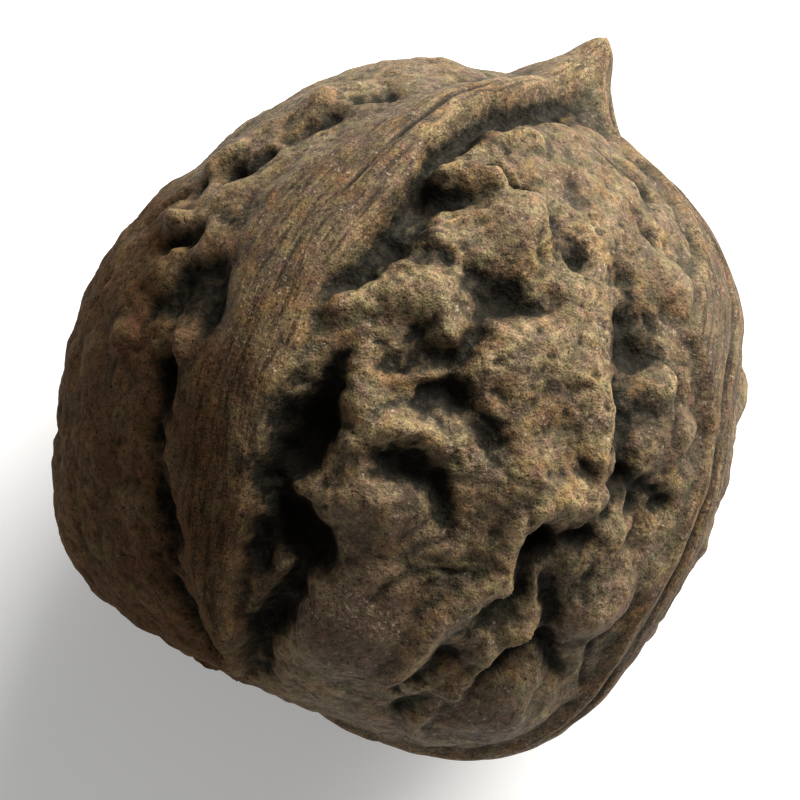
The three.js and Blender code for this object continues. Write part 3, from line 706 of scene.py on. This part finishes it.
def standing(points):
    """Face frame to standing frame, in metres, with the resting spot on z = 0."""
    x, y, z = points.T
    away = y * UP_SHARE - z * AWAY_SHARE
    up = y * AWAY_SHARE + z * UP_SHARE + REST_DEPTH
    return np.stack([x, away, up], axis=1) / 1000.0


def from_face(vector):
    """A face-frame direction turned into the standing frame."""
    x, y, z = vector
    return Vector((x, y * UP_SHARE - z * AWAY_SHARE, y * AWAY_SHARE + z * UP_SHARE))


def join_or_set(tree, socket, value):
    """A socket linked to another node's output, or set to a plain value."""
    if hasattr(value, "is_output"):
        tree.links.new(value, socket)
    else:
        socket.default_value = value


def add_node(tree, kind, inputs=None, **settings):
    node = tree.nodes.new(kind)
    for key, value in settings.items():
        setattr(node, key, value)
    for key, value in (inputs or {}).items():
        join_or_set(tree, node.inputs[key], value)
    return node


def srgb(steps):
    """A colour given as 0 to 255 steps, in the linear values shaders use."""
    shares = [step / 255.0 for step in steps]
    linear = [s / 12.92 if s <= 0.04045 else ((s + 0.055) / 1.055) ** 2.4 for s in shares]
    return (*linear, 1.0)


def spread(tree, value, low, high, to_low=0.0, to_high=1.0):
    """Value stretched from low..high to to_low..to_high and held there."""
    node = add_node(tree, "ShaderNodeMapRange", {
        "Value": value, "From Min": low, "From Max": high, "To Min": to_low, "To Max": to_high})
    return node.outputs["Result"]


def mixed(tree, share, first, second, blend="MIX"):
    """This share of the second colour over the first."""
    node = add_node(tree, "ShaderNodeMix", data_type="RGBA", blend_type=blend)
    for socket, value in ((node.inputs[0], share), (node.inputs[6], first), (node.inputs[7], second)):
        join_or_set(tree, socket, value)
    return node.outputs[2]


def grey(tree, value):
    node = add_node(tree, "ShaderNodeCombineColor", {"Red": value, "Green": value, "Blue": value})
    return node.outputs[0]


def total(tree, *values):
    result = values[0]
    for value in values[1:]:
        result = add_node(tree, "ShaderNodeMath", {0: result, 1: value}, operation="ADD").outputs[0]
    return result


def product(tree, first, second):
    return add_node(tree, "ShaderNodeMath", {0: first, 1: second}, operation="MULTIPLY").outputs[0]


def speckle(tree, place, size, detail=4.0, roughness=0.6):
    """Noise with grains of about this many millimetres."""
    node = add_node(tree, "ShaderNodeTexNoise", {
        "Vector": place, "Scale": 1000.0 / size, "Detail": detail, "Roughness": roughness})
    return node.outputs["Fac"]


def shell_values(tree, place):
    """The shares kept on the mesh, and the speckles that colours and bumps have in common."""
    values = {
        name: add_node(tree, "ShaderNodeAttribute", attribute_name=name).outputs["Fac"]
        for name in ("broad", "fine", "cut", "band", "painted_shade", "rough", "smooth", "pore", "stain_and_shade", "crack")
    }
    fibre = add_node(tree, "ShaderNodeAttribute", attribute_name="fibre").outputs["Vector"]
    values["clouds"] = speckle(tree, place, 4.0)
    values["blots"] = speckle(tree, place, 1.3)
    values["grain"] = speckle(tree, place, 0.45, 4.0, 0.7)
    values["specks"] = speckle(tree, place, 0.22, 2.0, 0.6)
    values["streaks"] = speckle(tree, fibre, 0.35, 4.0, 0.65)
    return values


def base_skin(tree, at):
    """Tan where the shell stands proud, grey-brown where it lies low."""
    tone = total(
        tree,
        at["broad"],
        spread(tree, at["clouds"], 0.3, 0.7, -0.7, 0.7),
        spread(tree, at["blots"], 0.3, 0.7, -1.1, 1.1),
        spread(tree, at["fine"], -1.0, 1.0, -0.6, 0.6),
        spread(tree, at["band"], 0.0, 1.0, 0.0, -0.3),
    )
    return mixed(tree, spread(tree, tone, -1.3, 1.3), srgb(LOW_BROWN), srgb(PROUD_TAN))


def patched_skin(tree, skin, place, at):
    """Ochre, mauve-brown, olive and red-brown patches, the band tint, and painted shade on the left."""
    ochre = speckle(tree, place, 1.7, 3.0, 0.55)
    skin = mixed(tree, spread(tree, ochre, 0.5, 0.62, 0.0, 0.5), skin, srgb(OCHRE))
    mauve = speckle(tree, place, 1.1, 4.0, 0.6)
    skin = mixed(tree, spread(tree, mauve, 0.49, 0.6, 0.0, 0.6), skin, srgb(MAUVE))
    low_olive = spread(tree, at["fine"], 0.2, -0.8, 0.0, 0.5)
    olive = total(tree, low_olive, spread(tree, at["clouds"], 0.35, 0.65, -0.1, 0.35))
    skin = mixed(tree, olive, skin, srgb(OLIVE))
    # Red-brown patches, stronger on the left as part of its painted shade.
    warm = total(tree, speckle(tree, place, 2.6), spread(tree, at["painted_shade"], 0.3, 1.0, 0.0, 0.2))
    skin = mixed(tree, spread(tree, warm, 0.5, 0.74, 0.0, 0.8), skin, srgb(RED_BROWN))
    plain = total(tree, at["smooth"], spread(tree, at["blots"], 0.3, 0.7, -0.25, 0.25))
    skin = mixed(tree, spread(tree, plain, 0.1, 0.9, 0.0, 0.85), skin, srgb(SMOOTH_BROWN))
    skin = mixed(tree, spread(tree, at["band"], 0.0, 1.0), skin, BAND_TINT, "MULTIPLY")
    # Painted shade darkens the left side.
    skin = mixed(tree, spread(tree, at["painted_shade"], 0.2, 1.0), skin, PAINTED_SHADE_TINT, "MULTIPLY")
    tint = spread(tree, speckle(tree, place, 0.7, 3.0, 0.6), 0.4, 0.6)
    return mixed(tree, 1.0, skin, mixed(tree, tint, PINK_TINT, GREEN_TINT), "MULTIPLY")


def marked_skin(tree, skin, place, at):
    """Fine grain, fibre lines, dark pores, pale flecks and dust."""
    grain = spread(tree, at["grain"], 0.36, 0.6, 0.6, 0.0)
    grain = product(tree, grain, spread(tree, at["band"], 0.0, 1.0, 1.0, 0.7))
    skin = mixed(tree, grain, skin, srgb(GRAIN_BROWN))
    lines = spread(tree, at["streaks"], 0.38, 0.52, 0.8, 0.0)
    lines = product(tree, lines, spread(tree, at["band"], 0.2, 1.0))
    skin = mixed(tree, lines, skin, srgb(FIBRE_BROWN))
    skin = mixed(tree, spread(tree, at["specks"], 0.38, 0.32, 0.0, 0.8), skin, srgb(PORE_BLACK))
    flecks = spread(tree, at["specks"], 0.6, 0.7, 0.0, 0.42)
    # Pale flecks fade where shade is painted on the left.
    flecks = product(tree, flecks, spread(tree, at["painted_shade"], 0.2, 0.8, 1.0, 0.1))
    clusters = spread(tree, speckle(tree, place, 2.2, 3.0, 0.6), 0.45, 0.6, 0.25, 1.0)
    skin = mixed(tree, product(tree, flecks, clusters), skin, srgb(FLECK_CREAM))
    dust = spread(tree, speckle(tree, place, 0.1, 1.0, 0.5), 0.3, 0.7, 0.55, 1.45)
    dusted = mixed(tree, 1.0, skin, grey(tree, dust), "MULTIPLY")
    dust_share = total(
        tree,
        spread(tree, at["rough"], 0.0, 1.0, 0.3, 0.9),
        spread(tree, at["band"], 0.0, 1.0, 0.0, 0.6),
    )
    return mixed(tree, dust_share, skin, dusted)


def dirt_and_shade_skin(tree, skin, place, at):
    """Dark, slightly green dirt and painted shade in hollows, creases, pores and cracks, with its share of
    the surface.
    """
    stain_and_shade = spread(tree, at["stain_and_shade"], 0.0, 2.0, 0.0, 1.1)
    dirt_and_shade = total(
        tree,
        at["cut"],
        spread(tree, at["fine"], 0.1, -1.0, 0.0, 0.35),
        spread(tree, at["broad"], 0.0, -1.4, 0.0, 0.45),
        spread(tree, at["grain"], 0.3, 0.7, 0.22, -0.22),
        spread(tree, at["blots"], 0.3, 0.7, -0.15, 0.15),
        spread(tree, at["pore"], 0.0, 1.0, 0.0, 0.4),
        stain_and_shade,
    )
    dirt_and_shade_share = spread(tree, dirt_and_shade, 0.14, 0.86, 0.0, 0.94)
    grit = spread(tree, speckle(tree, place, 0.5, 4.0, 0.75), 0.42, 0.66)
    colour = mixed(tree, grit, srgb(DIRT_AND_SHADE_BLACK), srgb(DIRT_AND_SHADE_GRIT))
    # The deepest hollows and the pit floors are painted near black, partly dirt and partly painted shade.
    deepest = spread(tree, total(tree, at["cut"], stain_and_shade), 0.7, 1.3, 0.0, 0.9)
    colour = mixed(tree, deepest, colour, srgb(DEEPEST_DIRT_AND_SHADE))
    skin = mixed(tree, dirt_and_shade_share, skin, colour)
    skin = mixed(tree, spread(tree, at["crack"], 0.1, 0.7, 0.0, 0.85), skin, srgb(CRACK_BROWN))
    return skin, dirt_and_shade_share


def skin_bumps(tree, place, at):
    """Bumps too fine for the mesh: specks, grain, creases, and streaks along the fibres."""
    creases = add_node(tree, "ShaderNodeTexNoise", {
        "Vector": place, "Scale": 1000.0 / CREASE_SIZE, "Detail": 4.0, "Roughness": 0.55, "Lacunarity": 2.2},
        noise_type="RIDGED_MULTIFRACTAL").outputs["Fac"]
    crease_height = product(tree, creases, spread(tree, at["rough"], 0.0, 1.0, 0.3, 1.0))
    grain_height = product(tree, at["grain"], spread(tree, at["band"], 0.0, 1.0, 1.0, 0.35))
    streak_height = product(tree, at["streaks"], spread(tree, at["band"], 0.2, 1.0))
    bump = add_node(tree, "ShaderNodeBump", {
        "Strength": 0.7, "Distance": SPECK_BUMP, "Height": at["specks"]})
    layers = [(GRAIN_BUMP, grain_height), (CREASE_BUMP, crease_height), (STREAK_BUMP, streak_height)]
    for distance, height in layers:
        bump = add_node(tree, "ShaderNodeBump", {
            "Strength": 0.8, "Distance": distance, "Height": height, "Normal": bump.outputs["Normal"]})
    return bump.outputs["Normal"]


def shell_material():
    material = bpy.data.materials.new("walnut_shell")
    material.use_nodes = True
    tree = material.node_tree
    shader = tree.nodes["Principled BSDF"]
    place = add_node(tree, "ShaderNodeTexCoord").outputs["Object"]
    at = shell_values(tree, place)
    skin = base_skin(tree, at)
    skin = patched_skin(tree, skin, place, at)
    skin = marked_skin(tree, skin, place, at)
    skin, dirt_and_shade_share = dirt_and_shade_skin(tree, skin, place, at)
    gloss = spread(tree, dirt_and_shade_share, 0.0, 1.0, 0.16, 0.04)
    # The left side, with its painted shade, is also made duller.
    gloss = product(tree, gloss, spread(tree, at["painted_shade"], 0.0, 0.8, 1.0, 0.04))
    join_or_set(tree, shader.inputs["Base Color"], skin)
    join_or_set(tree, shader.inputs["Roughness"], SKIN_ROUGHNESS)
    join_or_set(tree, shader.inputs["Specular IOR Level"], gloss)
    join_or_set(tree, shader.inputs["Normal"], skin_bumps(tree, place, at))
    return material


def build_walnut():
    cube, cells = cube_grid()
    directions = mesh_directions(cube)
    radius, fibre, shares = shell(directions)
    mesh = bpy.data.meshes.new("walnut_shell")
    mesh.from_pydata(standing(directions * radius[:, None]).tolist(), [], cells.tolist())
    mesh.shade_smooth()
    shares["fine"] = (radius - blurred(radius, cells, FINE_ROUNDS)) / FINE_STEP
    shares["broad"] = (radius - blurred(radius, cells, BROAD_ROUNDS)) / BROAD_STEP
    for name, values in shares.items():
        attribute = mesh.attributes.new(name, "FLOAT", "POINT")
        attribute.data.foreach_set("value", values.astype(np.float32))
    attribute = mesh.attributes.new("fibre", "FLOAT_VECTOR", "POINT")
    attribute.data.foreach_set("vector", (fibre / 1000.0).astype(np.float32).ravel())
    mesh.materials.append(shell_material())
    walnut = bpy.data.objects.new("walnut_shell", mesh)
    bpy.context.scene.collection.objects.link(walnut)
    return walnut


def floor_material():
    material = bpy.data.materials.new("floor")
    material.use_nodes = True
    inputs = material.node_tree.nodes["Principled BSDF"].inputs
    inputs["Base Color"].default_value = FLOOR_COLOUR
    inputs["Roughness"].default_value = FLOOR_ROUGHNESS
    inputs["Emission Color"].default_value = WHITE
    inputs["Emission Strength"].default_value = FLOOR_GLOW
    return material


def add_floor():
    bpy.ops.mesh.primitive_plane_add(size=FLOOR_SIZE, location=(0.0, 0.0, 0.0))
    floor = bpy.context.object
    floor.name = "floor"
    floor.data.materials.append(floor_material())
    return floor


def add_sky():
    world = bpy.data.worlds.new("studio")
    world.use_nodes = True
    background = world.node_tree.nodes["Background"]
    background.inputs["Color"].default_value = WHITE
    background.inputs["Strength"].default_value = SKY_STRENGTH
    bpy.context.scene.world = world


def add_light(name, direction, power, size, colour):
    """A square lamp that shines on the nut from this face-frame direction."""
    lamp = bpy.data.lights.new(name, "AREA")
    lamp.energy = power
    lamp.size = size
    lamp.color = colour
    light = bpy.data.objects.new(name, lamp)
    way = from_face(direction).normalized()
    light.location = MIDDLE + way * LAMP_DISTANCE
    light.rotation_mode = "QUATERNION"
    light.rotation_quaternion = way.to_track_quat("Z", "Y")
    bpy.context.scene.collection.objects.link(light)


def add_camera():
    """A long lens looking straight at the face."""
    lens = bpy.data.cameras.new("camera")
    lens.lens = FOCAL_LENGTH
    lens.sensor_width = SENSOR_WIDTH
    lens.clip_start = 0.02
    lens.clip_end = 10.0
    camera = bpy.data.objects.new("camera", lens)
    distance = PICTURE_WIDTH * FOCAL_LENGTH / SENSOR_WIDTH
    camera.location = MIDDLE + from_face((0.0, 0.0, 1.0)) * distance
    camera.rotation_euler = (math.radians(90.0 - FACE_ELEVATION), 0.0, 0.0)
    bpy.context.scene.collection.objects.link(camera)
    bpy.context.scene.camera = camera


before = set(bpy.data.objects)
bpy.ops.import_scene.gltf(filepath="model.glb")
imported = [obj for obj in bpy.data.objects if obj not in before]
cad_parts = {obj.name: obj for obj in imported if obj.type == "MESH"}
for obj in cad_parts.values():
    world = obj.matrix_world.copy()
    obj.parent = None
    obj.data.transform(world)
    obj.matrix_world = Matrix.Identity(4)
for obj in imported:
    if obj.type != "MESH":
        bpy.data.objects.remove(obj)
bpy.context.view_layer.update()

walnut = build_walnut()
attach(walnut, "root")
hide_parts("walnut")

# Pale floor and soft light from the upper right.
floor = add_floor()
add_sky()
add_light("key", KEY_DIRECTION, KEY_POWER, KEY_SIZE, KEY_COLOUR)
add_camera()
bpy.context.scene.view_settings.view_transform = "Standard"
